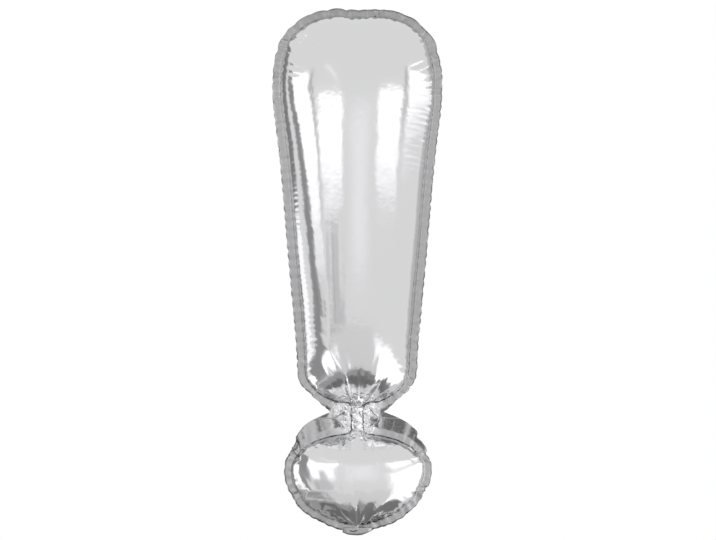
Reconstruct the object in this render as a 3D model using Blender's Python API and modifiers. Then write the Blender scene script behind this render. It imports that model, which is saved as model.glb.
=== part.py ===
"""A foil balloon in the shape of an exclamation mark, filled and upright.

Two die-cut sheets of metallised film, front (-Y) and back (+Y), are heat sealed together along a margin
that runs round the whole outline. Gas pushes them apart into a tapered bar, a narrow neck and a flattened
dot. The filling tail at the bottom is folded back and up under the dot, with its clear valve film inside.
Sizes are in metres. Heights are measured from the lowest point of the fold, and the origin is put at the
centre of the gas, where the air's lift acts.
"""

import math

import bmesh
import bpy
import numpy as np
from mathutils import Vector

FILM = 0.001
GAP = 0.0003

# The seam line of the filled shape: half widths (X) at its main heights, a round cap above them and the
# dot's oval below.
SEAM_TOP = 0.8462
SHOULDER = 0.759
CAP_ROUND = 2.25
HALF_WIDTHS = (
    (SHOULDER, 0.1260),
    (0.700, 0.1215),
    (0.610, 0.1125),
    (0.520, 0.1055),
    (0.428, 0.0978),
    (0.336, 0.0875),
    (0.266, 0.0808),
    (0.254, 0.0765),
    (0.245, 0.0690),
    (0.236, 0.0550),
    (0.228, 0.0360),
    (0.222, 0.0190),
    (0.217, 0.0120),
    (0.205, 0.0100),
    (0.185, 0.0100),
    (0.173, 0.0120),
)
DOT_TOP = 0.1670
DOT_MIDDLE = 0.0938
DOT_RISE = 0.0743
DOT_HALF_WIDTH = 0.1085
DOT_ROUND = 2.05

# The gas pushes each sheet this far out of the seam's plane (Y) at the middle of its width.
DEEPEST = 0.610
CAP_DEPTH_ROUND = 2.65
HALF_DEPTHS = (
    (DEEPEST, 0.1045),
    (0.520, 0.1020),
    (0.428, 0.0940),
    (0.336, 0.0795),
    (0.300, 0.0710),
    (0.266, 0.0590),
    (0.250, 0.0500),
    (0.240, 0.0420),
    (0.230, 0.0300),
    (0.222, 0.0180),
    (0.215, 0.0100),
    (0.205, 0.0080),
    (0.185, 0.0080),
    (0.173, 0.0100),
    (0.165, 0.0200),
    (0.150, 0.0340),
    (0.130, 0.0460),
    (0.112, 0.0520),
)
DOT_HALF_DEPTH = 0.0540
DOT_DEPTH_ROUND = 2.3
SECTION_ROUND = 2.25

# The sealed margin outside the seam line, gathered into small scallops. Beside the neck it is a wide web
# with an outer edge of its own.
MARGIN = 0.0135
WEB_EDGE = (
    (0.0775, 0.2305),
    (0.0636, 0.2205),
    (0.0490, 0.2105),
    (0.0408, 0.2007),
    (0.0530, 0.1910),
    (0.0710, 0.1810),
    (0.0857, 0.1710),
    (0.0970, 0.1615),
    (0.1060, 0.1510),
)
WEB_TOP = 0.246
WEB_BOTTOM = 0.128
SCALLOP_PITCH = 0.0162
SCALLOP_DEPTH = 0.0011
RUFFLE = 0.0016
POINTS_A_SCALLOP = 4
FLAT_RUN = 0.022
MERGE = 0.00001

# The filling tail, creased at its root and turned back under the dot.
TAIL_WIDTH = 0.046
TAIL_LENGTH = 0.062
TAIL_RISE = math.radians(22)
TAIL_FILM = 0.0005
CREASE_RADIUS = 0.0031
CREASE_Y = 0.0022
CREASE_HEIGHT = CREASE_RADIUS + 0.5 * TAIL_FILM
TAIL_ROOT = 0.0046
VALVE_WIDTH = 0.026
VALVE_FILM = 0.0007
VALVE_START = 0.004
VALVE_REACH = 0.004

ACROSS = 14
CORNER = 0.266
CAP_ROWS = 8
BAR_ROWS = 11
NECK_STEP = 0.0055
DOT_ROWS = 14
CREASE_STEPS = 8

SILVER = (0.80, 0.80, 0.81)
CLEAR_FILM = (0.86, 0.88, 0.90)

FRONT, BACK = -1, 1


def clear_scene():
    for old in list(bpy.data.objects):
        bpy.data.objects.remove(old, do_unlink=True)


def collection(name):
    made = bpy.data.collections.new(name)
    bpy.context.scene.collection.children.link(made)
    return made


def material(name, colour, roughness, metallic, alpha=1.0):
    made = bpy.data.materials.new(name)
    made.use_nodes = True
    shader = made.node_tree.nodes["Principled BSDF"]
    shader.inputs["Base Color"].default_value = (*colour, 1.0)
    shader.inputs["Roughness"].default_value = roughness
    shader.inputs["Metallic"].default_value = metallic
    shader.inputs["Alpha"].default_value = alpha
    return made


def round_part(share, power):
    """The height of a superellipse's quarter at this share of its run."""
    return max(0.0, 1.0 - share**power) ** (1.0 / power)


def through(points, height):
    """A cubic curve through (height, size) points, read at one height."""
    heights, sizes = np.array(sorted(points)).T
    slopes = np.gradient(sizes, heights)
    k = int(np.clip(np.searchsorted(heights, height) - 1, 0, len(heights) - 2))
    step = heights[k + 1] - heights[k]
    t = (height - heights[k]) / step
    near = (2 * t**3 - 3 * t**2 + 1) * sizes[k] + (t**3 - 2 * t**2 + t) * step * slopes[k]
    far = (3 * t**2 - 2 * t**3) * sizes[k + 1] + (t**3 - t**2) * step * slopes[k + 1]
    return float(near + far)


def size_at(height, points, cap_round, oval_top, dot_size, dot_round):
    """A half width or half depth: round cap, listed middle, then the dot's oval."""
    top, widest = points[0]
    if height > top:
        return widest * round_part((height - top) / (SEAM_TOP - top), cap_round)
    share = min(1.0, abs(height - DOT_MIDDLE) / DOT_RISE)
    if height <= oval_top:
        return dot_size * round_part(share, dot_round)
    join = dot_size * round_part((oval_top - DOT_MIDDLE) / DOT_RISE, dot_round)
    return through((*points, (oval_top, join)), height)


def stations():
    """Rows (height, half width, half depth) from the seam's top point to its bottom point."""
    heights = []
    for turn in np.linspace(0, 0.5 * math.pi, CAP_ROWS + 1)[:-1]:
        heights.append(SHOULDER + (SEAM_TOP - SHOULDER) * math.cos(turn) ** (2 / CAP_ROUND))
    heights += list(np.linspace(SHOULDER, CORNER, BAR_ROWS + 1)[:-1])
    heights += list(np.linspace(CORNER, DOT_TOP, round((CORNER - DOT_TOP) / NECK_STEP) + 1)[:-1])
    first = math.acos((DOT_TOP - DOT_MIDDLE) / DOT_RISE)
    for turn in np.linspace(first, math.pi, DOT_ROWS + 1):
        heights.append(DOT_MIDDLE + DOT_RISE * math.cos(turn))
    rows = []
    for height in heights:
        width = size_at(height, HALF_WIDTHS, CAP_ROUND, DOT_TOP, DOT_HALF_WIDTH, DOT_ROUND)
        depth = size_at(height, HALF_DEPTHS, CAP_DEPTH_ROUND, DOT_MIDDLE, DOT_HALF_DEPTH, DOT_DEPTH_ROUND)
        rows.append((height, width, depth))
    return rows


def lift_height(rows):
    """Height of the gas's centre: each row's section has an area in proportion to width * depth."""
    height, width, depth = np.array(rows).T
    area = width * depth
    slab = 0.5 * (area[1:] + area[:-1]) * -np.diff(height)
    middle = 0.5 * (height[1:] + height[:-1])
    return float((slab * middle).sum() / slab.sum())


def outward(points):
    """Unit vectors out of a closed loop of points in the XZ plane."""
    ahead = np.roll(points, -1, axis=0) - np.roll(points, 1, axis=0)
    normal = np.column_stack([ahead[:, 1], -ahead[:, 0]])
    normal /= np.linalg.norm(normal, axis=1)[:, None]
    away = (normal * (points - points.mean(axis=0))).sum()
    return normal if away > 0 else -normal


def even_round(value):
    """A superellipse's coordinate from a circle's."""
    return math.copysign(abs(value) ** (2 / SECTION_ROUND), value)


def film_pattern(rows):
    """One sheet, with each vertex at (x, bulge, height) and its ruffle in a layer of its own."""
    mesh = bmesh.new()
    bmesh.ops.create_grid(mesh, x_segments=ACROSS, y_segments=len(rows) - 1, size=1.0)
    for v in mesh.verts:
        turn = 0.5 * math.pi * (1 - v.co.x)
        height, width, depth = rows[round(0.5 * (1 - v.co.y) * (len(rows) - 1))]
        v.co = (width * even_round(math.cos(turn)), depth * even_round(math.sin(turn)), height)
    bmesh.ops.remove_doubles(mesh, verts=mesh.verts, dist=MERGE)
    bmesh.ops.dissolve_degenerate(mesh, dist=MERGE, edges=mesh.edges)
    add_margin(mesh, rows)
    bmesh.ops.triangulate(mesh, faces=mesh.faces)
    return mesh


def rim_line(rows):
    """Points (x, height) of the margin's outer edge at even spacing, a whole number of scallops round."""
    half = np.array([(width, height) for height, width, _ in rows])
    rim = half + MARGIN * outward(np.vstack([half, half[-2:0:-1] * (-1, 1)]))[: len(half)]
    half = np.vstack([rim[half[:, 1] > WEB_TOP], WEB_EDGE, rim[half[:, 1] < WEB_BOTTOM]])
    loop = np.vstack([half, half[-2::-1] * (-1, 1)])
    along = np.concatenate([[0.0], np.cumsum(np.linalg.norm(np.diff(loop, axis=0), axis=1))])
    count = POINTS_A_SCALLOP * round(along[-1] / SCALLOP_PITCH)
    places = np.arange(count) * along[-1] / count
    return np.column_stack([np.interp(places, along, loop[:, k]) for k in (0, 1)])


def add_margin(mesh, rows):
    """Fills the flat ring between the seam and the rim, whose points are scalloped and ruffled."""
    ruffle = mesh.verts.layers.float.new("ruffle")
    ring = [e for e in mesh.edges if e.is_boundary]
    rim = rim_line(rows)
    turn = 2 * math.pi * np.arange(len(rim)) / POINTS_A_SCALLOP
    rim += SCALLOP_DEPTH * np.cos(turn)[:, None] * outward(rim)
    verts = []
    for (x, height), angle in zip(rim, turn):
        v = mesh.verts.new((x, 0.0, max(height, TAIL_ROOT + GAP)))
        flat = abs(x) < FLAT_RUN and (height > SHOULDER or height < SCALLOP_PITCH)
        v[ruffle] = 0.0 if flat else RUFFLE * math.sin(angle)
        verts.append(v)
    ring += [mesh.edges.new(pair) for pair in zip(verts, verts[1:] + verts[:1])]
    bmesh.ops.triangle_fill(mesh, use_beauty=True, edges=ring, normal=(0, 1, 0))


def place(name, mesh, group, look, thickness, offset, lift):
    """Makes the object, gives it its thickness and shades it."""
    bmesh.ops.translate(mesh, verts=mesh.verts, vec=(0, 0, -lift))
    data = bpy.data.meshes.new(name)
    mesh.to_mesh(data)
    mesh.free()
    data.materials.append(look)
    data.shade_smooth()
    made = bpy.data.objects.new(name, data)
    group.objects.link(made)
    wall = made.modifiers.new("film", "SOLIDIFY")
    wall.thickness = thickness
    wall.offset = offset
    wall.use_even_offset = True
    return made


def foil(name, pattern, side, group, look, lift):
    mesh = pattern.copy()
    ruffle = mesh.verts.layers.float["ruffle"]
    for v in mesh.verts:
        v.co.y = v[ruffle] + side * (0.5 * GAP + v.co.y)
    bmesh.ops.recalc_face_normals(mesh, faces=mesh.faces)
    if sum(f.normal.y * f.calc_area() for f in mesh.faces) * side < 0:
        bmesh.ops.reverse_faces(mesh, faces=mesh.faces)
    return place(name, mesh, group, look, FILM, 1.0, lift)


def tail_path(radius, start, end):
    """Points (y, height) of one layer, from start to end along its straight run behind the crease.

    A layer that starts at 0 comes down from the margin and goes round the crease first.
    """
    middle = Vector((CREASE_Y, CREASE_HEIGHT))
    last_turn = 1.5 * math.pi + TAIL_RISE
    root = middle + radius * Vector((math.cos(last_turn), math.sin(last_turn)))
    ahead = Vector((math.cos(TAIL_RISE), math.sin(TAIL_RISE)))
    points = [root + start * ahead, root + end * ahead]
    if start > 0:
        return points
    turns = np.linspace(math.pi, last_turn, CREASE_STEPS + 1)[:-1]
    crease = [middle + radius * Vector((math.cos(a), math.sin(a))) for a in turns]
    return [Vector((CREASE_Y - radius, TAIL_ROOT)), *crease, *points]


def strip(name, width, path, group, look, thickness, lift):
    """A flat strip of film swept along the path, centred on the path's line."""
    mesh = bmesh.new()
    rows = [[mesh.verts.new((x, y, z)) for x in (-0.5 * width, 0.5 * width)] for y, z in path]
    for (a, b), (c, d) in zip(rows, rows[1:]):
        mesh.faces.new((a, b, d, c))
    bmesh.ops.recalc_face_normals(mesh, faces=mesh.faces)
    return place(name, mesh, group, look, thickness, 0.0, lift)


def main():
    clear_scene()
    group = collection("foil_symbol_balloon")
    silver = material("silver_film", SILVER, 0.16, 1.0)
    clear = material("clear_film", CLEAR_FILM, 0.2, 0.0, 0.5)
    rows = stations()
    lift = lift_height(rows)
    pattern = film_pattern(rows)
    foil("front_foil", pattern, FRONT, group, silver, lift)
    foil("back_foil", pattern, BACK, group, silver, lift)
    pattern.free()
    outer = tail_path(CREASE_RADIUS, 0.0, TAIL_LENGTH)
    inner = tail_path(2 * CREASE_Y - CREASE_RADIUS, 0.0, TAIL_LENGTH)
    film = tail_path(CREASE_Y, VALVE_START, TAIL_LENGTH + VALVE_REACH)
    strip("tail_front_flap", TAIL_WIDTH, outer, group, silver, TAIL_FILM, lift)
    strip("tail_back_flap", TAIL_WIDTH, inner, group, silver, TAIL_FILM, lift)
    strip("valve_film", VALVE_WIDTH, film, group, clear, VALVE_FILM, lift)


main()
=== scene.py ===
"""Looks of the foil symbol balloon: an exclamation mark of two silver film sheets, filled with gas.

The flat cut of the sheets is drawn from half of its outline, meshed, and inflated here: first as a coarse
film that can't be squeezed, which gives the filled shape, then as a fine film that buckles into the small
puckers along the sealed seam. The filling tail and its clear valve film are modelled at the bottom.
"""

import math

import bpy
import numpy as np
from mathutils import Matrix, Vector, noise
from mathutils.bvhtree import BVHTree
from mathutils.geometry import delaunay_2d_cdt
from mathutils.kdtree import KDTree


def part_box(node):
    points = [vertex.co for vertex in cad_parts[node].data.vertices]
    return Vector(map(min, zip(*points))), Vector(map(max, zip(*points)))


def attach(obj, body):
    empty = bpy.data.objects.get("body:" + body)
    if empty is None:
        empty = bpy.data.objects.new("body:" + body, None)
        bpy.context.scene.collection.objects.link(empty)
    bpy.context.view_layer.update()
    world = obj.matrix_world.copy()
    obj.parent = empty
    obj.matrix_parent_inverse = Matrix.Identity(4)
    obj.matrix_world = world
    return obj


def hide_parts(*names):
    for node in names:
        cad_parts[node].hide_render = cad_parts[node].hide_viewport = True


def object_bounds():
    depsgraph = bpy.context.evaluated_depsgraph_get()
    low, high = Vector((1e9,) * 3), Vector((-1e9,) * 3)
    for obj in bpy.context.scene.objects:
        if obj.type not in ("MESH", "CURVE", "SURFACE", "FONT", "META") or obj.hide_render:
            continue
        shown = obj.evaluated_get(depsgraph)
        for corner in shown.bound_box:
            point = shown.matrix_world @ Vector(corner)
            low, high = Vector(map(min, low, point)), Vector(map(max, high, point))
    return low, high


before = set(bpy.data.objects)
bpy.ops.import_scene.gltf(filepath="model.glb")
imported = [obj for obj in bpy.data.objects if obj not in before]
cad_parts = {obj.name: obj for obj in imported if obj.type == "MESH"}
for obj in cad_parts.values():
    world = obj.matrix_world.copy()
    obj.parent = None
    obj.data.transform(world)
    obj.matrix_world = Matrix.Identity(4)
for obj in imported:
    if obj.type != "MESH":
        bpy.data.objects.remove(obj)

CAD_BOX = [list(corner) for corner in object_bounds()]
CAD_LOW, CAD_HIGH = (np.array(corner) for corner in CAD_BOX)

# The right half of the flat cut's seam line, top to bottom, as corners to be rounded off (x, z in metres).
# Between bar and dot it turns in to the narrow filling channel, while the cut's outer edge keeps to its
# own line, which leaves a wide web of sealed film on each side.
BAR_SEAM = (
    (0.000, 0.008),
    (0.050, 0.0075),
    (0.098, -0.006),
    (0.139, -0.039),
    (0.165, -0.090),
    (0.178, -0.150),
    (0.174, -0.245),
    (0.1595, -0.398),
    (0.139, -0.525),
    (0.114, -0.628),
    (0.099, -0.655),
)
NECK_SEAM = (
    (0.078, -0.676),
    (0.048, -0.687),
    (0.020, -0.689),
    (0.015, -0.694),
    (0.014, -0.706),
    (0.014, -0.722),
    (0.015, -0.735),
    (0.020, -0.740),
    (0.050, -0.743),
    (0.090, -0.753),
    (0.118, -0.772),
)
NECK_EDGE = (
    (0.069, -0.678),
    (0.048, -0.6915),
    (0.024, -0.695),
    (0.018, -0.704),
    (0.024, -0.713),
    (0.048, -0.717),
    (0.087, -0.732),
    (0.119, -0.757),
)
DOT_SEAM = (
    (0.1315, -0.806),
    (0.126, -0.846),
    (0.108, -0.880),
    (0.080, -0.906),
    (0.043, -0.925),
    (0.000, -0.932),
)
CORNER_CUTS = 4
MARGIN = 0.0135
RIM_STEP = 0.001
RIM_SLACK = 0.0002

# Inflation: spacing of the points, and the film's stiffness for each step of the relaxation.
COARSE = 0.008
FINE = 0.0028
COARSE_STEPS = 1800
SMOOTH_STEPS = 300
FINE_STEPS = 900
PUCKER_SHARE = 0.3
STRETCH = 0.2
SQUEEZE = 0.2
BEND = 0.001
MARGIN_STRETCH = 2.0
RADIAL = 0.8
MARGIN_BEND = 4.0
PRESSURE = 0.25
TUBE_RADIUS = 0.08
DAMPING = 0.985
FIRST_BULGE = 0.5
FIRST_BULGE_REACH = 0.08

# The puckers that the seam is started with.
PUCKER_PITCH = 0.016
PUCKER_START = 0.0008
PUCKER_REACH = 0.020
PUCKER_UNEVEN = 0.5
PUCKER_DRIFT = 0.09
JITTER = 0.00005

# Unevenness of the filled film: the crumpled web at the neck, and folds that fan out from where the film
# is gathered, at the bar's bottom and above the tail.
NECK_HEIGHT = -0.325
WEB_REACH = 0.026
WEB_WIDTH = 0.046
WEB_CRUMPLE = 0.0038
WEB_GRAIN = 110.0
WEB_FLATNESS = 0.5
BAR_FOLDS = {"height": -0.322, "reach": 0.058, "depth": 0.0060, "turns": 2.6, "seed": 3.0}
DOT_FOLDS = {"height": -0.514, "reach": 0.038, "depth": 0.0060, "turns": 2.6, "seed": 11.0}
FOLD_START = 0.010
SLACK = 0.0006
SLACK_GRAIN = 16.0
SCALLOP = 0.0019
FLUTTER = 0.00035
TAIL_SAG = 0.0055

# Single creases in the front, each as its start and end (x, z), half width and depth.
CREASES = (
    ((-0.040, 0.060), (-0.036, -0.190), 0.0050, 0.0007),
    ((-0.031, 0.020), (-0.029, -0.160), 0.0040, 0.0005),
    ((-0.052, -0.020), (-0.043, -0.230), 0.0050, 0.0006),
    ((-0.119, -0.446), (-0.030, -0.441), 0.0030, 0.0007),
    ((-0.112, -0.458), (-0.022, -0.463), 0.0030, 0.0008),
    ((-0.104, -0.470), (-0.020, -0.478), 0.0032, 0.0008),
    ((-0.088, -0.484), (-0.026, -0.488), 0.0030, 0.0007),
    ((-0.086, -0.366), (-0.058, -0.384), 0.0030, 0.0010),
    ((-0.079, -0.359), (-0.056, -0.374), 0.0028, 0.0010),
    ((0.070, -0.365), (0.052, -0.384), 0.0030, 0.0007),
    ((-0.060, 0.302), (-0.030, 0.262), 0.0050, 0.0006),
    ((0.058, 0.300), (0.040, 0.255), 0.0050, 0.0005),
)

FILM_THICKNESS = 0.0001

# The filling tail, turned back and up behind the dot at the lowest point. Lengths along its layers.
TAIL_WIDTH = 0.047
TAIL_LENGTH = 0.062
TAIL_RISE = math.radians(22)
TAIL_ROOT = 0.013
TAIL_TURNS = 8
CREASE_Y = 0.0022
CREASE_HEIGHT = 0.00335
OUTER_TURN = 0.0031
INNER_TURN = 0.0013
VALVE_WIDTH = 0.026
VALVE_START = 0.004
VALVE_REACH = 0.004
TAIL_CRUMPLE = 0.0016
TAIL_GRAIN = 0.011

# The camera looks level at the front, as the photo does. One pixel is this big at the balloon.
IMAGE_WIDTH, IMAGE_HEIGHT = 716, 540
PIXEL = 0.001632
CAMERA_DISTANCE = 3.0
BALLOON_TOP_PX = 8
BALLOON_MIDDLE_PX = 357.3


# The studio's cards: name, brightness at the top and at the bottom, distance, the share of the width and of
# the height over which the edges fade, and the two side edges from the top down, each point (turn, height).
CARDS = (
    ("softbox_left", 1.45, 0.66, 1.60, 0.05, 0.04, ((-46, 0.53), (-56, 0.25), (-60, -0.20)), ((-15, 0.76), (-19, 0.30), (-25, -0.20))),
    ("flag_left", 0.40, 0.75, 1.55, 0.35, 0.15, ((-53, 0.95), (-60, 0.45), (-68, -0.30)), ((-48, 0.95), (-54, 0.45), (-63, -0.30))),
    ("softbox_left_outer", 1.35, 0.72, 1.60, 0.04, 0.05, ((-100, 0.52), (-96, 0.20), (-88, -0.45)), ((-56, 0.92), (-61, 0.20), (-66, -0.45))),
    ("wall_left", 0.27, 0.32, 1.59, 0.14, 0.03, ((-119, 0.62), (-110, 0.10), (-96, -0.45), (-80, -0.85), (-60, -1.18)), ((-102, 0.62), (-93, 0.10), (-75, -0.45), (-58, -0.85), (-45, -1.10))),
    ("strip_left", 1.15, 1.10, 1.60, 0.08, 0.03, ((-146, 0.02), (-134, -0.40), (-112, -0.90), (-70, -1.35)), ((-126, 0.02), (-110, -0.40), (-82, -0.88), (-46, -1.18))),
    ("wall_left_back", 0.22, 0.22, 1.66, 0.03, 0.05, ((-180, 1.00), (-180, -0.40)), ((-121, 1.00), (-123, -0.40))),
    ("haze_left", 0.62, 0.55, 1.62, 0.20, 0.15, ((-60, 0.00), (-56, -0.40), (-44, -0.95)), ((-24, 0.00), (-22, -0.40), (-18, -0.95))),
    ("streak_left", 0.38, 0.38, 1.58, 0.40, 0.20, ((-48, -0.10), (-38, -0.85)), ((-44, -0.10), (-35, -0.85))),
    ("gleam_left", 1.2, 1.2, 1.55, 0.30, 0.20, ((-39, 1.20), (-23, 0.83)), ((-36, 1.20), (-17, 0.80))),
    ("gleam_high", 1.2, 1.2, 1.55, 0.30, 0.30, ((-122, 2.05), (-122, 1.80)), ((-98, 2.05), (-100, 1.80))),
    ("dark_low_left", 0.30, 0.30, 1.70, 0.10, 0.10, ((-178, -0.50), (-176, -2.20)), ((-146, -0.50), (-64, -2.20))),
    ("front_fill", 0.93, 0.82, 1.63, 0.50, 0.25, ((-19, 0.84), (-22, -0.80)), ((27, 0.84), (28, -0.80))),
    ("softbox_right", 1.40, 0.80, 1.60, 0.08, 0.04, ((22, 0.78), (25, 0.40), (30, -0.15)), ((57, 0.50), (61, 0.30), (70, -0.15))),
    ("flag_right", 0.42, 0.72, 1.55, 0.30, 0.12, ((57, 0.95), (57, 0.48), (66, 0.10)), ((62, 0.95), (62, 0.48), (71, 0.10))),
    ("softbox_right_outer", 1.30, 0.86, 1.60, 0.06, 0.05, ((64, 0.94), (64, 0.45), (74, 0.02)), ((104, 0.60), (118, 0.40), (140, 0.15))),
    ("streak_right", 1.05, 0.95, 1.60, 0.10, 0.30, ((112, 0.48), (120, 0.20)), ((160, 0.40), (150, 0.20))),
    ("wall_right_back", 0.50, 0.55, 1.70, 0.10, 0.10, ((122, 1.30), (124, -0.70)), ((179, 1.30), (179, -0.70))),
    ("low_right", 1.40, 1.30, 0.38, 0.10, 0.10, ((24, -0.34), (30, -0.50), (40, -0.95)), ((130, -0.36), (126, -0.50), (112, -0.80))),
    ("window_left", 1.40, 1.40, 0.38, 0.03, 0.05, ((-142, -0.37), (-142, -0.53)), ((-82, -0.36), (-80, -0.52))),
    ("flag_dot", 0.30, 0.36, 0.23, 0.10, 0.10, ((-118, -0.27), (-98, -0.33), (-84, -0.39), (-84, -0.45)), ((-60, -0.25), (-58, -0.32), (-57, -0.40), (-54, -0.46))),
    ("crescent", 1.35, 1.35, 0.22, 0.12, 0.15, ((-60, -0.28), (-57, -0.36), (-54, -0.445)), ((-44, -0.28), (-40, -0.36), (-39, -0.445))),
    ("crescent_inner", 1.25, 1.25, 0.22, 0.25, 0.20, ((-40, -0.28), (-36, -0.36), (-34, -0.445)), ((-28, -0.28), (-22, -0.36), (-22, -0.445))),
    ("low_left_near", 0.40, 0.40, 0.50, 0.12, 0.30, ((-160, -0.60), (-160, -0.72)), ((-30, -0.66), (-20, -0.78))),
    ("low_left", 0.34, 0.36, 0.50, 0.12, 0.25, ((-165, -0.72), (-160, -1.32)), ((16, -0.78), (20, -1.32))),
)
CARD_STEPS = 16


def deselect():
    bpy.ops.object.select_all(action="DESELECT")


# Flat cut and its mesh

def round_corners(points):
    """Cuts each corner of an open line again and again, keeping its two ends."""
    for _ in range(CORNER_CUTS):
        near = 0.75 * points[:-1] + 0.25 * points[1:]
        far = 0.25 * points[:-1] + 0.75 * points[1:]
        middle = np.stack([near, far], axis=1).reshape(-1, 2)
        points = np.vstack([points[:1], middle, points[-1:]])
    return points


def evenly(loop, spacing):
    """The closed loop with evenly spaced points, an even number of them."""
    closed = np.vstack([loop, loop[:1]])
    along = np.concatenate([[0.0], np.cumsum(np.linalg.norm(np.diff(closed, axis=0), axis=1))])
    count = 2 * round(along[-1] / spacing / 2)
    places = np.arange(count) * along[-1] / count
    return np.column_stack([np.interp(places, along, closed[:, k]) for k in (0, 1)])


def closed_line(neck, spacing):
    """The closed line of bar, neck and dot, clockwise from the top."""
    right = round_corners(np.array(BAR_SEAM + neck + DOT_SEAM))
    left = right[-2:0:-1] * (-1, 1)
    return evenly(np.vstack([right, left]), spacing)


def seam_line(spacing):
    return closed_line(NECK_SEAM, spacing)


def outward(loop):
    """Unit vectors out of a clockwise loop."""
    ahead = np.roll(loop, -1, axis=0) - np.roll(loop, 1, axis=0)
    ahead /= np.linalg.norm(ahead, axis=1)[:, None]
    return np.column_stack([-ahead[:, 1], ahead[:, 0]])


def rim_line(spacing):
    """The outer edge of the margin, one margin's width from the line of bar, outer neck and dot."""
    line = closed_line(NECK_EDGE, RIM_STEP)
    rim = line + outward(line) * MARGIN
    _, away = inside(rim, line)
    rim = rim[away > MARGIN - RIM_SLACK]
    return evenly(rim, spacing)


def inside(points, loop):
    """Which points lie inside the loop, and how far each is from it."""
    start, end = loop, np.roll(loop, -1, axis=0)
    run = end - start
    found, away = [], []
    for some in np.array_split(points, len(points) // 2000 + 1):
        x, z = some[:, :1], some[:, 1:]
        crosses = (start[:, 1] > z) != (end[:, 1] > z)
        level = np.where(run[:, 1] == 0, 1.0, run[:, 1])
        left_of = x < run[:, 0] * (z - start[:, 1]) / level + start[:, 0]
        found.append((crosses & left_of).sum(axis=1) % 2 == 1)
        share = ((x - start[:, 0]) * run[:, 0] + (z - start[:, 1]) * run[:, 1]) / (run**2).sum(axis=1)
        share = np.clip(share, 0, 1)
        gap_x = x - start[:, 0] - share * run[:, 0]
        gap_z = z - start[:, 1] - share * run[:, 1]
        away.append(np.sqrt(gap_x**2 + gap_z**2).min(axis=1))
    return np.concatenate(found), np.concatenate(away)


class Cut:
    """The flat cut at one spacing. Points run: seam, front inside, back inside, rim, margin inside."""

    def __init__(self, spacing):
        self.spacing = spacing
        self.seam = seam_line(spacing)
        self.around = len(self.seam)
        rim = rim_line(spacing)
        low, high = rim.min(axis=0), rim.max(axis=0)
        rise = spacing * math.sqrt(0.75)
        rows = np.arange(int((high[1] - low[1]) / rise) + 2)
        columns = np.arange(int((high[0] - low[0]) / spacing) + 2)
        across = low[0] + (columns[None, :] + 0.5 * (rows[:, None] % 2)) * spacing
        up = np.repeat(low[1] + rows[:, None] * rise, len(columns), axis=1)
        grid = np.column_stack([across.ravel(), up.ravel()])
        within, away = inside(grid, self.seam)
        grid, within = grid[away > 0.7 * spacing], within[away > 0.7 * spacing]
        panel, rest = grid[within], grid[~within]
        covered, away = inside(rest, rim)
        seal = rest[covered & (away > 0.7 * spacing)]
        self.inner = len(panel)
        points = np.vstack([self.seam, panel, rim, seal])
        faces = self.triangles(points, len(rim))
        in_panel, _ = inside(points[faces].mean(axis=1), self.seam)
        self.front = faces[in_panel]
        self.back = np.where(self.front >= self.around, self.front + self.inner, self.front)[:, ::-1]
        self.margin = faces[~in_panel]
        self.margin = np.where(self.margin >= self.around, self.margin + self.inner, self.margin)
        self.flat = np.vstack([self.seam, panel, panel, rim, seal])
        self.first_margin = self.around + 2 * self.inner
        self.place_by_seam()

    def triangles(self, points, rim):
        first = self.around + self.inner
        border = [(k, (k + 1) % self.around) for k in range(self.around)]
        border += [(first + k, first + (k + 1) % rim) for k in range(rim)]
        _, _, faces, origin, _, _ = delaunay_2d_cdt([Vector(p) for p in points], border, [], 1, 1e-7)
        source = np.array([o[0] for o in origin])
        faces = source[np.array(faces)]
        a, b, c = (points[faces[:, k]] for k in range(3))
        turn = (b - a)[:, 0] * (c - a)[:, 1] - (b - a)[:, 1] * (c - a)[:, 0]
        faces[turn < 0] = faces[turn < 0][:, ::-1]
        return faces

    def place_by_seam(self):
        """For each point: the nearest seam point, how far round that is, and the distance in from the seam."""
        tree = KDTree(self.around)
        for k, (x, z) in enumerate(self.seam):
            tree.insert((x, z, 0), k)
        tree.balance()
        found = [tree.find((x, z, 0))[1:] for x, z in self.flat]
        self.nearest = np.array([f[0] for f in found])
        self.away = np.array([f[1] for f in found])
        self.away[self.first_margin :] *= -1
        self.along = self.nearest * self.seam_length() / self.around

    def seam_length(self):
        return np.linalg.norm(np.roll(self.seam, -1, axis=0) - self.seam, axis=1).sum()


# Inflation

def edges_of(faces):
    ends = np.vstack([faces[:, [0, 1]], faces[:, [1, 2]], faces[:, [2, 0]]])
    return np.unique(np.sort(ends, axis=1), axis=0)


def across_edges(faces):
    """The two far corners of each pair of triangles that share an edge: springs against bending."""
    ends = np.sort(np.vstack([faces[:, [0, 1]], faces[:, [1, 2]], faces[:, [2, 0]]]), axis=1)
    corner = np.concatenate([faces[:, 2], faces[:, 0], faces[:, 1]])
    order = np.lexsort((ends[:, 1], ends[:, 0]))
    ends, corner = ends[order], corner[order]
    pair = (ends[1:] == ends[:-1]).all(axis=1)
    return np.column_stack([corner[:-1][pair], corner[1:][pair]])


class Springs:
    """Springs between pairs of points, with one stiffness when stretched and another when squeezed."""

    def __init__(self, ends, flat, stretched, squeezed):
        self.start, self.end = ends[:, 0].copy(), ends[:, 1].copy()
        self.both = np.concatenate([self.start, self.end])
        self.rest = np.linalg.norm(flat[self.start] - flat[self.end], axis=1).astype(np.float32)
        self.stretched, self.squeezed = stretched, squeezed

    def push(self, x, force):
        run = [c[self.end] - c[self.start] for c in x]
        length = np.sqrt(run[0] ** 2 + run[1] ** 2 + run[2] ** 2)
        over = length - self.rest
        pull = np.where(over > 0, self.stretched, self.squeezed) * over / length
        for c in range(3):
            share = run[c] * pull
            force[c] = force[c] + np.bincount(self.both, np.concatenate([share, -share]), len(x[c]))


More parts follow.
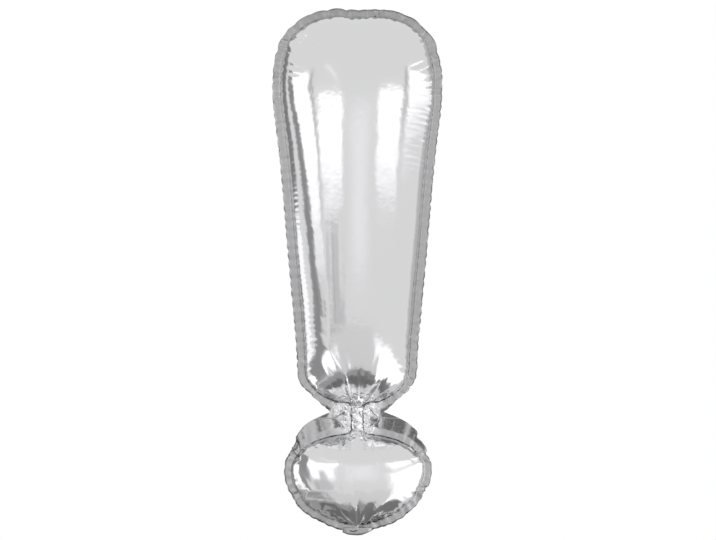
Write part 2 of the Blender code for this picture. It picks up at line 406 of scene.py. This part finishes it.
def inflate(cut, points, steps, buckles):
    """Relaxes the film under the gas's pressure. A film that buckles resists squeezing and bending."""
    edges = edges_of(np.vstack([cut.front, cut.back, cut.margin]))
    in_margin = (edges >= cut.first_margin).any(axis=1)
    run = cut.flat[edges[:, 1]] - cut.flat[edges[:, 0]]
    run /= np.linalg.norm(run, axis=1)[:, None]
    out = outward(cut.seam)[cut.nearest[edges[:, 0]]]
    radial = in_margin & (abs((run * out).sum(axis=1)) > RADIAL)
    stretched = np.full(len(edges), STRETCH, np.float32)
    if buckles:
        stretched[in_margin] *= MARGIN_STRETCH
    squeezed = np.where(radial, stretched, stretched * (SQUEEZE if buckles else 0)).astype(np.float32)
    sets = [(1, Springs(edges, cut.flat, stretched, squeezed))]
    if buckles:
        panels = np.vstack([across_edges(cut.front), across_edges(cut.back)])
        seals = across_edges(cut.margin)
        stiff = np.concatenate([np.full(len(panels), BEND), np.full(len(seals), BEND * MARGIN_BEND)])
        stiff = (2 * stiff).astype(np.float32)
        sets.append((2, Springs(np.vstack([panels, seals]), cut.flat, stiff, stiff)))
    faces = np.vstack([cut.front, cut.back])
    corners = [faces[:, k].copy() for k in range(3)]
    all_corners = np.concatenate(corners)
    load = np.float32(PRESSURE * cut.spacing * (2.67 if buckles else 1.25) / TUBE_RADIUS / 6)
    count = len(points)
    x = [points[:, c].astype(np.float32) for c in range(3)]
    speed = [np.zeros(count, np.float32) for _ in range(3)]
    for step in range(steps):
        force = [0.0, 0.0, 0.0]
        for every, springs in sets:
            if step % every == 0:
                springs.push(x, force)
        if step % 5 == 0:
            a, b, c = (np.stack([axis[k] for axis in x]) for k in corners)
            push = np.cross(b - a, c - a, axis=0) * load
            gas = [np.bincount(all_corners, np.tile(p, 3), count) for p in push]
        for c in range(3):
            speed[c] = ((speed[c] + force[c] + gas[c]) * DAMPING).astype(np.float32)
            x[c] = x[c] + speed[c]
    return np.column_stack(x).astype(float)


def first_bulge(cut):
    """The flat cut, opened a little so that the gas has something to push on."""
    points = np.zeros((len(cut.flat), 3))
    points[:, [0, 2]] = cut.flat
    front = slice(cut.around, cut.around + cut.inner)
    back = slice(cut.around + cut.inner, cut.around + 2 * cut.inner)
    _, away = inside(cut.flat[front], cut.seam)
    bulge = FIRST_BULGE * np.minimum(away, FIRST_BULGE_REACH)
    points[front, 1], points[back, 1] = -bulge, bulge
    return points


def carry(cut, points, faces, flat):
    """Where the flat points lie on the filled shape of a coarser cut."""
    tree = BVHTree.FromPolygons([(x, z, 0) for x, z in cut.flat], faces.tolist())
    hit = np.array([tree.find_nearest((x, z, 0))[2] for x, z in flat])
    a, b, c = (faces[hit, k] for k in range(3))
    side, other, place = cut.flat[b] - cut.flat[a], cut.flat[c] - cut.flat[a], flat - cut.flat[a]
    whole = side[:, 0] * other[:, 1] - other[:, 0] * side[:, 1]
    share_b = (place[:, 0] * other[:, 1] - other[:, 0] * place[:, 1]) / whole
    share_c = (side[:, 0] * place[:, 1] - place[:, 0] * side[:, 1]) / whole
    share_a = 1 - share_b - share_c
    return share_a[:, None] * points[a] + share_b[:, None] * points[b] + share_c[:, None] * points[c]


def start_puckers(cut, points, chance):
    """Waves the seam to and fro, a little unevenly, so that the film buckles at the right pitch."""
    length = cut.seam_length()
    waves = round(length / PUCKER_PITCH)
    knots = np.linspace(0, length, waves)
    drift = np.cumsum(chance.normal(0, PUCKER_DRIFT, waves)) * np.hanning(waves)
    phase = 2 * math.pi * (waves * cut.along / length + np.interp(cut.along, knots, drift))
    height = 1 + PUCKER_UNEVEN * np.interp(cut.along, knots, chance.normal(0, 1, waves))
    wave = PUCKER_START * height * np.sin(phase) * np.exp(-abs(cut.away) / PUCKER_REACH)
    points = points + chance.normal(0, JITTER, points.shape)
    points[:, 1] += wave
    return points


def filled_shape():
    """The flat cut and where its points are when filled: the smooth shape with a share of its puckers."""
    coarse = Cut(COARSE)
    blown = inflate(coarse, first_bulge(coarse), COARSE_STEPS, buckles=False)
    cut = Cut(FINE)
    front = slice(0, cut.around + cut.inner)
    back = slice(cut.around + cut.inner, cut.first_margin)
    margin = slice(cut.first_margin, None)
    points = np.empty((len(cut.flat), 3))
    points[front] = carry(coarse, blown, coarse.front, cut.flat[front])
    points[back] = points[cut.around : cut.around + cut.inner] * (1, -1, 1)
    points[margin] = carry(coarse, blown, coarse.margin, cut.flat[margin])
    points[: cut.around, 1] = 0
    points[margin, 1] = 0
    smooth = inflate(cut, points, SMOOTH_STEPS, buckles=False)
    puckered = inflate(cut, start_puckers(cut, smooth, np.random.default_rng(7)), FINE_STEPS, buckles=True)
    return cut, smooth + PUCKER_SHARE * (puckered - smooth)


def set_in_frame(points):
    """Moves the filled shape to where the frame's own sheets are."""
    low, high = points.min(axis=0), points.max(axis=0)
    middle = 0.5 * (low + high)
    foil_low, foil_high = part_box("front_foil")
    return points - (middle[0], 0, middle[2]) + (0, 0, 0.5 * (foil_low.z + foil_high.z))


# Unevenness of the filled film

def outward_normals(cut, points):
    """The film's normals, out of the gas. Points of the seam and the margin get the front's or none."""
    normals = np.zeros_like(points)
    for sheet in (cut.front, cut.back):
        a, b, c = (points[sheet[:, k]] for k in range(3))
        across = np.cross(b - a, c - a)
        for k in range(3):
            np.add.at(normals, sheet[:, k], across)
    length = np.linalg.norm(normals, axis=1)[:, None]
    normals /= np.where(length > 0, length, 1.0)
    front = slice(cut.around, cut.around + cut.inner)
    return normals if normals[front, 1].mean() < 0 else -normals


def grain(places):
    """Smooth noise at each of the places."""
    return np.array([noise.noise(Vector(p)) for p in places])


def ease(value, low, high):
    share = np.clip((value - low) / (high - low), 0, 1)
    return share * share * (3 - 2 * share)


def fan_of_folds(points, height, reach, depth, turns, seed):
    """Sharp folds that run out from one point of the middle line and die down with the distance."""
    x, z = points[:, 0], points[:, 2] - height
    far = np.hypot(x, z)
    turn = np.arctan2(x, abs(z))
    side = np.sign(points[:, 1])
    rough = grain(np.column_stack([turn * turns, far * 9.0, seed + 5.0 * side]))
    small = grain(np.column_stack([turn * turns * 2.7, far * 14.0, seed + 20.0 + 5.0 * side]))
    folds = 0.45 - abs(rough) * 1.6 - 0.5 * abs(small)
    return depth * folds * ease(far, 0, FOLD_START) * np.exp(-((far / reach / 1.6) ** 2))


def creases(points):
    """The single creases, sharp along their middle and tapering off at both ends."""
    x, z = points[:, 0], points[:, 2]
    depth = np.zeros(len(points))
    for start, end, width, height in CREASES:
        run = np.subtract(end, start)
        share = ((x - start[0]) * run[0] + (z - start[1]) * run[1]) / (run @ run)
        held = np.clip(share, 0, 1)
        off = np.hypot(x - start[0] - held * run[0], z - start[1] - held * run[1])
        depth += height * np.exp(-((off / width) ** 2)) * np.sin(math.pi * held) ** 0.7
    return depth


def crumpled(cut, points):
    """The filled film with its crumples, folds, creases and scalloped rim."""
    rest = points.copy()
    normals = outward_normals(cut, points)
    x, z, inward = rest[:, 0], rest[:, 2], cut.away
    panel = ease(inward, 0.0, 0.010)
    on_bar, on_dot = ease(z, NECK_HEIGHT - 0.004, NECK_HEIGHT + 0.012), ease(-z, 0.338, 0.352)
    lift = fan_of_folds(rest, **BAR_FOLDS) * on_bar + fan_of_folds(rest, **DOT_FOLDS) * on_dot
    lift += creases(rest) * (rest[:, 1] < 0)
    lift += SLACK * grain(rest * SLACK_GRAIN + (0, 0, 4))
    points = rest + normals * (lift * panel)[:, None]
    web = np.exp(-(((z - NECK_HEIGHT) / WEB_REACH) ** 4) - (x / WEB_WIDTH) ** 4) * (1 - ease(inward, 0.004, 0.016))
    points[:, 1] *= 1 - WEB_FLATNESS * web
    flat = np.column_stack([x, z * 0, z]) * WEB_GRAIN
    for axis, share in ((0, 0.35), (1, 1.0), (2, 0.5)):
        rough = grain(flat + (0, 17.0 + 9 * axis, 0)) + 0.6 * grain(flat * 2.3 + (0, 5.0 + 9 * axis, 0))
        points[:, axis] += share * WEB_CRUMPLE * web * rough
    return points + rim_shape(cut, z)


def rim_shape(cut, z):
    """Scallops of the margin's outer edge, with a little flutter out of its plane."""
    waves = round(cut.seam_length() / PUCKER_PITCH)
    phase = 2 * math.pi * waves * cut.along / cut.seam_length()
    uneven = grain(np.column_stack([cut.along * 23.0, cut.along * 0, cut.along * 0 + 2.0]))
    phase = phase + 2.4 * uneven
    broad = ease(z, 0.20, 0.29)
    size = 0.75 + 0.9 * grain(np.column_stack([cut.along * 31.0, cut.along * 0, cut.along * 0 + 8.0]))
    out = ease(-cut.away, 0.25 * MARGIN, MARGIN) * (-cut.away < 1.15 * MARGIN)
    ahead = outward(cut.seam)[cut.nearest]
    lobes = (1 - broad) * abs(np.sin(0.5 * phase)) + broad * abs(np.sin(0.25 * phase))
    scallop = SCALLOP * size * out * (lobes - 0.64)
    flutter = FLUTTER * size * out * np.sin(phase) * (1 - 0.7 * broad)
    return np.column_stack([ahead[:, 0] * scallop, flutter, ahead[:, 1] * scallop])


# Materials

class Wire:
    """One output of a material's nodes, with arithmetic."""

    def __init__(self, look, socket):
        self.look, self.socket = look, socket

    def join(self, operation, *values):
        return self.look.node("ShaderNodeMath", {"operation": operation}, dict(enumerate(values)))

    def __add__(self, other):
        return self.join("ADD", self, other)

    def __sub__(self, other):
        return self.join("SUBTRACT", self, other)

    def __rsub__(self, other):
        return self.join("SUBTRACT", other, self)

    def __mul__(self, other):
        return self.join("MULTIPLY", self, other)

    __radd__ = __add__
    __rmul__ = __mul__


class Look:
    """A material being built."""

    def __init__(self, name):
        self.material = bpy.data.materials.new(name)
        self.material.use_nodes = True
        self.tree = self.material.node_tree
        self.shader = self.tree.nodes["Principled BSDF"]

    def put(self, socket, value):
        if isinstance(value, Wire):
            self.tree.links.new(value.socket, socket)
        else:
            socket.default_value = value

    def node(self, kind, settings=None, values=None, output=0):
        made = self.tree.nodes.new(kind)
        for name, value in (settings or {}).items():
            if name == "stops":
                ramp = made.color_ramp
                while len(ramp.elements) > len(value):
                    ramp.elements.remove(ramp.elements[-1])
                while len(ramp.elements) < len(value):
                    ramp.elements.new(1.0)
                for element, (place, shade) in zip(ramp.elements, value):
                    element.position = place
                    element.color = (shade, shade, shade, 1.0)
            else:
                setattr(made, name, value)
        for key, value in (values or {}).items():
            self.put(made.inputs[key], value)
        return Wire(self, made.outputs[output])

    def mix(self, factor, first, second):
        values = {"Factor": factor, "A": first, "B": second}
        made = self.tree.nodes.new("ShaderNodeMix")
        made.data_type = "RGBA"
        for name, value in values.items():
            sockets = [s for s in made.inputs if s.name == name and s.enabled]
            self.put(sockets[0], value)
        return Wire(self, [s for s in made.outputs if s.enabled][0])

    def between(self, value, low, high):
        """0 at low, 1 at high, and in a straight line between."""
        return self.node("ShaderNodeMapRange", {"clamp": True}, {"Value": value, "From Min": low, "From Max": high})

    def parts(self, place):
        """The three coordinates of a place."""
        split = self.tree.nodes.new("ShaderNodeSeparateXYZ")
        self.put(split.inputs[0], place)
        return [Wire(self, made) for made in split.outputs]

    def noise(self, place, scale, detail):
        return self.node("ShaderNodeTexNoise", {}, {"Vector": place, "Scale": scale, "Detail": detail})

    def near(self, place, middle, outer, inner):
        """1 within the inner distance of a point, and 0 beyond the outer."""
        away = self.node("ShaderNodeVectorMath", {"operation": "DISTANCE"}, {0: place, 1: middle}, output=1)
        return self.between(away, outer, inner)

    def set(self, **values):
        for name, value in values.items():
            self.put(self.shader.inputs[name.replace("_", " ")], value)


def grey(value):
    return (value, value, value * 1.01, 1.0)


def silver_film():
    """Bright metallised film, duller and rougher in the sealed margin, with painted shade in the seam's crevice, on
    patches of the margin's outer rim and along the margin's top.
    """
    look = Look("silver_film")
    place = look.node("ShaderNodeTexCoord", output=3)
    away = look.node("ShaderNodeAttribute", {"attribute_name": "away"}, output=2)
    along = look.node("ShaderNodeAttribute", {"attribute_name": "along"}, output=2)
    seal = look.between(away, 0.0003, -0.0005)
    # Painted shade: a mask for a dark line along the seam's crevice.
    crevice_shade = look.between(away, -0.0012, -0.0002) * look.between(away, 0.0016, 0.0005)
    across, _, up = look.parts(place)
    rim = look.between(away, -0.0108, -0.0128)
    near_seam = look.between(away, 0.020, 0.0) * look.between(away, -0.004, 0.001)
    neck = look.near(place, (0.0, 0.0, NECK_HEIGHT), 0.052, 0.030)
    smudge = look.noise(place, 22.0, 4.0)
    waves = look.noise(place, 45.0, 2.0)
    fine = look.noise(place, 260.0, 3.0)
    seal_grain = look.noise(place, 620.0, 3.0)
    round_seam = look.node("ShaderNodeCombineXYZ", {}, {"X": along * 1.0, "Y": away * 0.10, "Z": 0.3})
    pleats = look.noise(round_seam, 230.0, 1.0)
    facets = look.node("ShaderNodeTexVoronoi", {}, {"Vector": place, "Scale": 150.0})
    uneven = look.noise(round_seam, 60.0, 2.0)
    # Painted shade on the margin's outer rim: uneven patches along it, more of them on the right side and on the dot.
    rim_shade_side = look.between(across, -0.06, 0.05) + look.between(up, -0.34, -0.44)
    rim_shade_patches = look.between(uneven + 0.10 * rim_shade_side, 0.50, 0.62)
    plain_seal = seal * (1 - 0.9 * neck)
    colour = look.mix(plain_seal, grey(0.84), grey(0.47))
    # Painted shade: the seam's crevice darkened, except at the neck.
    colour = look.mix(0.60 * crevice_shade * (1 - neck), colour, grey(0.06))
    # Painted shade: the outer rim darkened in those patches.
    colour = look.mix(0.85 * rim * rim_shade_patches, colour, grey(0.08))
    # Painted shade: the sealed margin darker along the top.
    colour = look.mix(0.35 * seal * look.between(up, 0.285, 0.335), colour, grey(0.15))
    colour = look.mix(0.35 * seal * look.between(seal_grain, 0.50, 0.70), colour, grey(0.80))
    rough = 0.10 + 0.07 * smudge + 0.22 * plain_seal
    height = 0.60 * waves + 0.05 * fine + 0.35 * pleats * near_seam + 0.12 * seal_grain * seal
    height = height + 2.8 * facets * neck
    bump = look.node("ShaderNodeBump", {}, {"Height": height, "Strength": 0.8, "Distance": 0.0010})
    look.set(Base_Color=colour, Roughness=rough, Normal=bump, Metallic=1.0)
    return look.material


def clear_film():
    look = Look("clear_film")
    place = look.node("ShaderNodeTexCoord", output=3)
    haze = look.node("ShaderNodeTexNoise", {}, {"Vector": place, "Scale": 60.0, "Detail": 3.0})
    look.set(Base_Color=(0.86, 0.88, 0.90, 1.0), Roughness=0.12 + 0.2 * haze, Alpha=0.45)
    return look.material


# Pieces

def film_piece(name, cut, points, sheet, material):
    """One sheet with its half of the margin, as a thin closed wall on its own side of the seam."""
    front = sheet is cut.front
    margin = cut.margin[:, ::-1] if front else cut.margin
    faces = np.vstack([sheet, margin])
    used, faces = np.unique(faces, return_inverse=True)
    faces = faces.reshape(-1, 3)
    mesh = bpy.data.meshes.new(name)
    mesh.from_pydata(points[used].tolist(), [], faces.tolist())
    normal_y = sum(p.normal.y * p.area for p in mesh.polygons[: len(sheet)])
    if (normal_y < 0) != front:
        mesh.flip_normals()
    for attribute, values in (("away", cut.away), ("along", cut.along)):
        made = mesh.attributes.new(attribute, "FLOAT", "POINT")
        made.data.foreach_set("value", values[used].astype(np.float32))
    mesh.materials.append(material)
    piece = bpy.data.objects.new(name, mesh)
    bpy.context.scene.collection.objects.link(piece)
    finish_film(piece)
    return piece


def finish_film(piece):
    """Gives a film its thickness, outwards, and shades it smooth."""
    deselect()
    piece.select_set(True)
    bpy.context.view_layer.objects.active = piece
    wall = piece.modifiers.new("film", "SOLIDIFY")
    wall.thickness = FILM_THICKNESS
    wall.offset = 1.0
    bpy.ops.object.modifier_apply(modifier=wall.name)
    bpy.ops.object.shade_smooth()
    deselect()


# Filling tail

def tail_path(turn, start, end):
    """Points (y, z) of one layer of the tail, down from the margin, round the crease and up behind the dot."""
    low = CAD_LOW[2]
    middle = np.array([CREASE_Y, low + CREASE_HEIGHT])
    last = 1.5 * math.pi + TAIL_RISE
    ahead = np.array([math.cos(TAIL_RISE), math.sin(TAIL_RISE)])
    root = middle + turn * np.array([math.cos(last), math.sin(last)])
    run = [root + ahead * (start + (end - start) * k / TAIL_TURNS) for k in range(TAIL_TURNS + 1)]
    if start > 0:
        return run
    angles = np.linspace(math.pi, last, TAIL_TURNS + 1)[:-1]
    crease = [middle + turn * np.array([math.cos(a), math.sin(a)]) for a in angles]
    return [np.array([CREASE_Y - turn, low + TAIL_ROOT]), *crease, *run]


def tail_layer(name, width, path, material):
    """A strip of film drawn out along the path, then crumpled."""
    deselect()
    bpy.ops.mesh.primitive_plane_add(size=1.0)
    piece = bpy.context.object
    piece.name = name
    first, second = path[0], path[1]
    for vertex in piece.data.vertices:
        y, z = second if vertex.co.y > 0 else first
        vertex.co = (math.copysign(0.5 * width, vertex.co.x), y, z)
        vertex.select = tuple(vertex.co[1:]) == tuple(Vector((0, y, z))[1:]) and (y, z) == tuple(second)
    bpy.context.tool_settings.mesh_select_mode = (False, True, False)
    for edge in piece.data.edges:
        edge.select = all(piece.data.vertices[v].select for v in edge.vertices)
    for face in piece.data.polygons:
        face.select = False
    bpy.ops.object.mode_set(mode="EDIT")
    for here, there in zip(path[1:], path[2:]):
        step = (0.0, there[0] - here[0], there[1] - here[1])
        bpy.ops.mesh.extrude_region_move(TRANSFORM_OT_translate={"value": step})
    bpy.ops.mesh.select_all(action="SELECT")
    bpy.ops.mesh.subdivide(number_cuts=5)
    bpy.ops.mesh.normals_make_consistent(inside=False)
    bpy.ops.object.mode_set(mode="OBJECT")
    for vertex in piece.data.vertices:
        low = 1 - ease(vertex.co.z - CAD_LOW[2], 0.002, TAIL_ROOT)
        vertex.co.z += TAIL_SAG * low * ((vertex.co.x + 0.003) / (0.5 * TAIL_WIDTH)) ** 2
    for axis, strength in (("X", 0.5), ("Y", 0.6), ("Z", 1.0)):
        rough = bpy.data.textures.new(f"{name}_{axis}", "CLOUDS")
        rough.noise_scale = TAIL_GRAIN * (1.0 + 0.3 * strength)
        bend = piece.modifiers.new("crumple", "DISPLACE")
        bend.texture = rough
        bend.texture_coords = "LOCAL"
        bend.direction = axis
        bend.strength = TAIL_CRUMPLE * strength * 2
        bend.mid_level = 0.5
        bpy.ops.object.modifier_apply(modifier=bend.name)
    for attribute, value in (("away", -0.5 * MARGIN), ("along", 0.0)):
        made = piece.data.attributes.new(attribute, "FLOAT", "POINT")
        made.data.foreach_set("value", [value] * len(piece.data.vertices))
    piece.data.materials.append(material)
    finish_film(piece)
    return piece


# Studio

def make_camera():
    data = bpy.data.cameras.new("camera")
    data.sensor_fit = "HORIZONTAL"
    data.lens = data.sensor_width * CAMERA_DISTANCE / (IMAGE_WIDTH * PIXEL)
    camera = bpy.data.objects.new("camera", data)
    bpy.context.scene.collection.objects.link(camera)
    across = (0.5 * IMAGE_WIDTH - BALLOON_MIDDLE_PX) * PIXEL
    up = CAD_HIGH[2] - (0.5 * IMAGE_HEIGHT - BALLOON_TOP_PX) * PIXEL
    camera.location = (across, -CAMERA_DISTANCE, up)
    camera.rotation_euler = (0.5 * math.pi, 0, 0)
    bpy.context.scene.camera = camera
    return camera


def flat_light(name, bright, faint):
    """A surface that only gives light: faint at its lower end, bright from a third of the way up."""
    look = Look(name)
    up = look.node("ShaderNodeAttribute", {"attribute_name": "up"}, output=2)
    cover = look.node("ShaderNodeAttribute", {"attribute_name": "cover"}, output=2)
    shade = look.mix(look.between(up, 0.0, 0.4), grey(faint), grey(bright))
    look.set(Base_Color=(0, 0, 0, 1), Roughness=1.0, Specular_IOR_Level=0.0, Emission_Color=shade)
    look.set(Emission_Strength=1.0, Alpha=cover)
    return look.material


def along_edge(edge, shares):
    """Points at even shares of an edge's height, from its top down."""
    turns, heights = np.array(edge, float).T
    places = np.linspace(0, 1, len(edge))
    return np.interp(shares, places, turns), np.interp(shares, places, heights)


def card(name, bright, faint, distance, soft_sides, soft_ends, left, right):
    """A curved card that stands round the balloon with soft edges, seen only in its reflections."""
    shares = np.linspace(0, 1, CARD_STEPS + 1)
    (left_turn, left_height), (right_turn, right_height) = along_edge(left, shares), along_edge(right, shares)
    across, down = (grid.T.ravel() for grid in np.meshgrid(shares, shares, indexing="ij"))
    step = np.rint(down * CARD_STEPS).astype(int)
    turn = np.radians(left_turn[step] * (1 - across) + right_turn[step] * across)
    height = left_height[step] * (1 - across) + right_height[step] * across
    points = np.column_stack([distance * np.sin(turn), -distance * np.cos(turn), height])
    row = CARD_STEPS + 1
    faces = [
        (j * row + i, j * row + i + 1, (j + 1) * row + i + 1, (j + 1) * row + i)
        for j in range(CARD_STEPS)
        for i in range(CARD_STEPS)
    ]
    mesh = bpy.data.meshes.new(name)
    mesh.from_pydata(points.tolist(), [], faces)
    sides = ease(np.minimum(across, 1 - across), 0.0, soft_sides)
    ends = ease(np.minimum(down, 1 - down), 0.0, soft_ends)
    for attribute, values in (("up", 1 - down), ("cover", sides * ends)):
        made = mesh.attributes.new(attribute, "FLOAT", "POINT")
        made.data.foreach_set("value", values.astype(np.float32))
    mesh.materials.append(flat_light(name, bright, faint))
    stand = bpy.data.objects.new(name, mesh)
    bpy.context.scene.collection.objects.link(stand)
    stand.visible_camera = False
    return stand


def make_studio():
    world = bpy.data.worlds.new("studio")
    bpy.context.scene.world = world
    world.use_nodes = True
    nodes, links = world.node_tree.nodes, world.node_tree.links
    direction = nodes.new("ShaderNodeTexCoord")
    split = nodes.new("ShaderNodeSeparateXYZ")
    ramp = nodes.new("ShaderNodeValToRGB")
    links.new(direction.outputs["Generated"], split.inputs[0])
    links.new(split.outputs["Y"], ramp.inputs["Fac"])
    ramp.color_ramp.elements[0].position = 0.86
    ramp.color_ramp.elements[0].color = (0.79, 0.79, 0.79, 1.0)
    ramp.color_ramp.elements[1].position = 0.93
    ramp.color_ramp.elements[1].color = (1.0, 1.0, 1.0, 1.0)
    links.new(ramp.outputs["Color"], nodes["Background"].inputs["Color"])
    deselect()
    bpy.ops.mesh.primitive_circle_add(vertices=96, radius=3.0, fill_type="NGON", location=(0, 0, CAD_LOW[2] - 1.0))
    floor = bpy.context.object
    floor.name = "floor"
    pale = bpy.data.materials.new("pale_floor")
    pale.use_nodes = True
    pale.node_tree.nodes["Principled BSDF"].inputs["Base Color"].default_value = (0.9, 0.9, 0.9, 1)
    pale.node_tree.nodes["Principled BSDF"].inputs["Roughness"].default_value = 0.7
    floor.data.materials.append(pale)
    deselect()
    bpy.ops.mesh.primitive_circle_add(vertices=64, radius=0.75, fill_type="NGON", location=(0, -0.1, CAD_LOW[2] - 0.80))
    mat = bpy.context.object
    mat.name = "grey_mat"
    dull = bpy.data.materials.new("grey_mat")
    dull.use_nodes = True
    dull.node_tree.nodes["Principled BSDF"].inputs["Base Color"].default_value = (0.24, 0.24, 0.24, 1)
    dull.node_tree.nodes["Principled BSDF"].inputs["Roughness"].default_value = 0.9
    mat.data.materials.append(dull)
    for values in CARDS:
        card(*values)


make_camera()
bpy.context.scene.view_settings.view_transform = "Standard"
make_studio()
SILVER = silver_film()
CLEAR = clear_film()
cut, filled = filled_shape()
filled = crumpled(cut, set_in_frame(filled))
front_film = film_piece("front_film", cut, filled, cut.front, SILVER)
back_film = film_piece("back_film", cut, filled, cut.back, SILVER)
outer = tail_path(OUTER_TURN, 0.0, TAIL_LENGTH)
inner = tail_path(INNER_TURN, 0.0, TAIL_LENGTH)
between = tail_path(CREASE_Y, VALVE_START, TAIL_LENGTH + VALVE_REACH)
tail_front = tail_layer("tail_front", TAIL_WIDTH, outer, SILVER)
tail_back = tail_layer("tail_back", TAIL_WIDTH, inner, SILVER)
valve = tail_layer("valve", VALVE_WIDTH, between, CLEAR)
for piece, node, film in (
    (front_film, "front_foil", "silver_film"),
    (back_film, "back_foil", "silver_film"),
    (tail_front, "tail_front_flap", "silver_film"),
    (tail_back, "tail_back_flap", "silver_film"),
    (valve, "valve_film", "clear_film"),
):
    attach(piece, "root")
    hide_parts(node)
